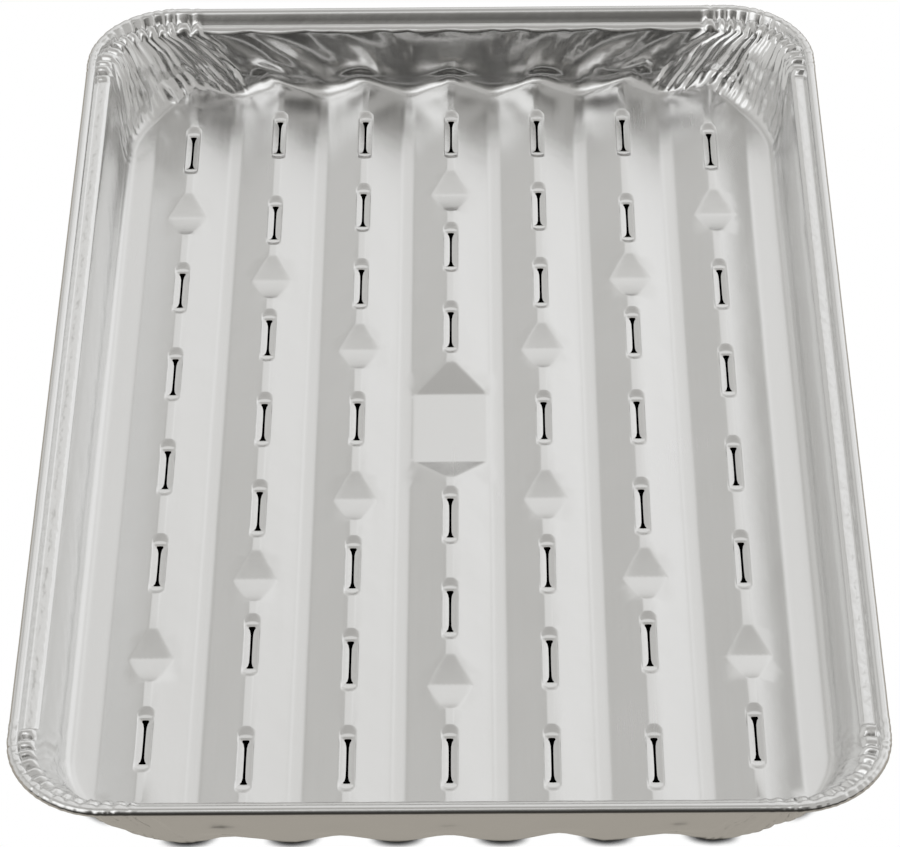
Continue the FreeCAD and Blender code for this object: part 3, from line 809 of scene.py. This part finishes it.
def noise_node(nodes, links, place, scale, detail):
    """Noise with its own scale along X, Y and Z."""
    stretched = nodes.new("ShaderNodeVectorMath")
    stretched.operation = "MULTIPLY"
    stretched.inputs[1].default_value = scale
    links.new(place, stretched.inputs[0])
    node = nodes.new("ShaderNodeTexNoise")
    node.inputs["Scale"].default_value = 1.0
    node.inputs["Detail"].default_value = detail
    links.new(stretched.outputs["Vector"], node.inputs["Vector"])
    return node.outputs["Fac"]


def bump_node(nodes, links, height, distance, normal):
    """Bump of a height, on top of an earlier bump if there is one."""
    node = nodes.new("ShaderNodeBump")
    node.inputs["Distance"].default_value = distance
    links.new(height, node.inputs["Height"])
    if normal is not None:
        links.new(normal, node.inputs["Normal"])
    return node.outputs["Normal"]


def math_node(nodes, links, operation, *values):
    """The result of one calculation with numbers and sockets."""
    node = nodes.new("ShaderNodeMath")
    node.operation = operation
    for socket, value in zip(node.inputs, values):
        if isinstance(value, (int, float)):
            socket.default_value = value
        else:
            links.new(value, socket)
    return node.outputs[0]


def range_node(nodes, links, value, start, end, to_start=0.0, to_end=1.0, soft=True):
    """Goes from to_start to to_end as a value goes from start to end, softly or evenly."""
    node = nodes.new("ShaderNodeMapRange")
    node.interpolation_type = "SMOOTHSTEP" if soft else "LINEAR"
    for name, number in (("From Min", start), ("From Max", end), ("To Min", to_start), ("To Max", to_end)):
        node.inputs[name].default_value = number
    links.new(value, node.inputs["Value"])
    return node.outputs["Result"]


def colour_mix(nodes, links, share, first, second):
    """The first colour at share 0, going over to the second at share 1."""
    node = nodes.new("ShaderNodeMix")
    node.data_type = "RGBA"
    node.inputs["A"].default_value = first
    node.inputs["B"].default_value = second
    links.new(share, node.inputs["Factor"])
    return node.outputs["Result"]


def shader_mix(nodes, links, share, first, second):
    """The first shader at share 0 and the second at share 1."""
    node = nodes.new("ShaderNodeMixShader")
    links.new(share, node.inputs["Fac"])
    links.new(first, node.inputs[1])
    links.new(second, node.inputs[2])
    return node.outputs["Shader"]


# ---------------------------------------------------------------- stage, light and camera

WHITE = (1.0, 1.0, 1.0, 1.0)
FLOOR_HALF = 6.0
FLOOR_GREY = (0.85, 0.85, 0.85, 1.0)
# How far, in metres, the painted contact shade of the tray reaches on the floor beside it.
SHADE_REACH = 0.0025
# Half-widths in metres of the painted shade under the tray, a black patch of floor that only the camera sees,
# and the width of its soft edge.
PAINTED_SHADE_HALF_X, PAINTED_SHADE_HALF_Y, PAINTED_SHADE_EDGE = 0.087, 0.148, 0.003
# Painted shade and tint of the floor in the foil's reflections: how much of its light the floor loses in
# front of the tray and beside it, the places along Y between which that changes, and the floor's painted warm
# tint.
PAINTED_SHADE_IN_FRONT, PAINTED_SHADE_BESIDE = 0.96, 0.58
FRONT_Y, BESIDE_Y = -0.215, -0.178
PAINTED_REFLECTION_TINT = (1.0, 0.93, 0.82, 1.0)


def make_floor():
    """A plain white floor with painted shade: black under the tray and a painted contact shade close beside
    it.
    """
    mesh = bpy.data.meshes.new("floor")
    corners = [(sx * FLOOR_HALF, sy * FLOOR_HALF, 0) for sx, sy in ((-1, -1), (1, -1), (1, 1), (-1, 1))]
    mesh.from_pydata(corners, [], [(0, 1, 2, 3)])
    floor = bpy.data.objects.new("floor", mesh)
    bpy.context.scene.collection.objects.link(floor)
    mesh.materials.append(floor_material())


def floor_material():
    """White to the camera but for painted shade, painted dim and warm in the foil's reflections, plain pale
    grey to all other light.
    """
    material = bpy.data.materials.new("floor")
    material.use_nodes = True
    nodes, links = material.node_tree.nodes, material.node_tree.links
    shader = nodes["Principled BSDF"]
    shader.inputs["Base Color"].default_value = FLOOR_GREY
    shader.inputs["Roughness"].default_value = 0.9
    shader.inputs["Specular IOR Level"].default_value = 0.0
    # painted contact shade: ambient occlusion dims the floor's glow beside the tray, for the camera and in
    # reflections
    shade = nodes.new("ShaderNodeAmbientOcclusion")
    shade.inputs["Distance"].default_value = SHADE_REACH
    open_sky = range_node(nodes, links, shade.outputs["AO"], 0.2, 0.8)
    place = nodes.new("ShaderNodeSeparateXYZ")
    links.new(nodes.new("ShaderNodeTexCoord").outputs["Object"], place.inputs["Vector"])
    path = nodes.new("ShaderNodeLightPath").outputs

    # painted shade in reflections: the floor is dim beside the tray and nearly black further in front of it
    reflected_shade = range_node(nodes, links, place.outputs["Y"], FRONT_Y, BESIDE_Y, PAINTED_SHADE_IN_FRONT, PAINTED_SHADE_BESIDE)
    reflected_shade = math_node(nodes, links, "MULTIPLY", path["Is Glossy Ray"], reflected_shade)
    light = math_node(nodes, links, "MULTIPLY", open_sky, math_node(nodes, links, "SUBTRACT", 1.0, reflected_shade))
    # painted shade: the camera sees the floor under the tray, through the slits, painted black as a place
    # without light
    outside = math_node(nodes, links, "SUBTRACT", 1.0, path["Is Camera Ray"])
    for axis, edge in (("X", PAINTED_SHADE_HALF_X), ("Y", PAINTED_SHADE_HALF_Y)):
        away = math_node(nodes, links, "ABSOLUTE", place.outputs[axis])
        beyond = range_node(nodes, links, away, edge, edge + PAINTED_SHADE_EDGE, soft=False)
        outside = math_node(nodes, links, "MAXIMUM", outside, beyond)
    glow = nodes.new("ShaderNodeEmission")
    links.new(math_node(nodes, links, "MULTIPLY", light, outside), glow.inputs["Strength"])
    # painted reflection: in the foil's reflections the floor is tinted warm
    links.new(colour_mix(nodes, links, path["Is Glossy Ray"], WHITE, PAINTED_REFLECTION_TINT), glow.inputs["Color"])
    seen = shader_mix(nodes, links, seen_ray(nodes, links), shader.outputs["BSDF"], glow.outputs["Emission"])
    # from below one looks through the floor at the tray's underside
    underside = nodes.new("ShaderNodeNewGeometry").outputs["Backfacing"]
    clear = nodes.new("ShaderNodeBsdfTransparent").outputs["BSDF"]
    links.new(shader_mix(nodes, links, underside, seen, clear), nodes["Material Output"].inputs["Surface"])
    return material


def seen_ray(nodes, links):
    """1 for rays from the camera and for those that metal and glass reflect or let through."""
    path = nodes.new("ShaderNodeLightPath")
    total = path.outputs["Is Camera Ray"]
    for name in ("Is Glossy Ray", "Is Transmission Ray"):
        total = math_node(nodes, links, "MAXIMUM", total, path.outputs[name])
    return total


# Soft light of the studio: direction, inner and outer angle in degrees, and how much it adds.
SOFTBOXES = (
    ((0.0, 0.74, 0.67), 12, 23, 0.28),
    ((0.0, 0.95, 0.33), 4, 13, 0.14),
    ((-0.40, 0.85, 0.34), 4, 12, 0.17),
    ((0.40, 0.84, 0.36), 5, 16, 0.15),
    ((0.62, 0.66, 0.40), 14, 40, 0.21),
    ((0.90, 0.42, 0.10), 20, 50, 0.20),
    ((-0.90, 0.30, 0.30), 20, 42, 0.16),
    ((0.0, -0.40, 0.91), 6, 18, 0.12),
    ((-0.44, -0.56, 0.70), 16, 34, 0.70),
)
# Dark sides of the studio: direction, inner and outer angle, and the share of its light that is lost.
DARK_SIDES = (
    ((0.0, -1.0, -0.09), 9, 44, 0.90),
    ((0.0, -0.82, 0.57), 14, 32, 0.68),
    ((0.0, 0.06, 1.0), 4, 20, 0.14),
)
STUDIO_LEVEL = 0.52
STUDIO_TINT = (1.0, 0.97, 0.91, 1.0)


def make_world():
    """A soft studio about the tray, tinted warm where it is dim. The camera itself sees it white."""
    world = bpy.data.worlds.new("studio")
    bpy.context.scene.world = world
    world.use_nodes = True
    nodes, links = world.node_tree.nodes, world.node_tree.links
    background = nodes["Background"]
    direction = nodes.new("ShaderNodeTexCoord").outputs["Generated"]
    level = STUDIO_LEVEL
    for softbox in SOFTBOXES:
        level = math_node(nodes, links, "ADD", cone(nodes, links, direction, *softbox), level)
    for dark_side in DARK_SIDES:
        kept = math_node(nodes, links, "SUBTRACT", 1.0, cone(nodes, links, direction, *dark_side))
        level = math_node(nodes, links, "MULTIPLY", level, kept)
    camera_ray = nodes.new("ShaderNodeLightPath").outputs["Is Camera Ray"]
    level = math_node(nodes, links, "MAXIMUM", level, camera_ray)
    links.new(level, background.inputs["Strength"])
    links.new(colour_mix(nodes, links, level, STUDIO_TINT, WHITE), background.inputs["Color"])


def cone(nodes, links, direction, toward, inner, outer, amount):
    """amount inside a cone about a direction, falling softly to 0 at its outer angle."""
    dot = nodes.new("ShaderNodeVectorMath")
    dot.operation = "DOT_PRODUCT"
    links.new(direction, dot.inputs[0])
    dot.inputs[1].default_value = Vector(toward).normalized()
    outer_edge, inner_edge = math.cos(math.radians(outer)), math.cos(math.radians(inner))
    return range_node(nodes, links, dot.outputs["Value"], outer_edge, inner_edge, to_end=amount)


def make_camera():
    data = bpy.data.cameras.new("camera")
    data.sensor_width = SENSOR_WIDTH
    data.sensor_fit = "HORIZONTAL"
    data.lens = FOCAL_LENGTH
    camera = bpy.data.objects.new("camera", data)
    turn = (Matrix.Rotation(math.radians(-CAMERA_YAW), 4, "Z")
            @ Matrix.Rotation(math.radians(90 - CAMERA_PITCH), 4, "X")
            @ Matrix.Rotation(math.radians(CAMERA_ROLL), 4, "Z"))
    camera.matrix_world = Matrix.Translation(Vector(CAMERA_AT) * MM) @ turn
    bpy.context.scene.collection.objects.link(camera)
    bpy.context.scene.camera = camera


# ---------------------------------------------------------------- scene

make_camera()
make_world()
make_floor()
bpy.context.scene.view_settings.view_transform = "Standard"

tray = make_tray(foil_material())
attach(tray, "root")
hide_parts("foil_tray")
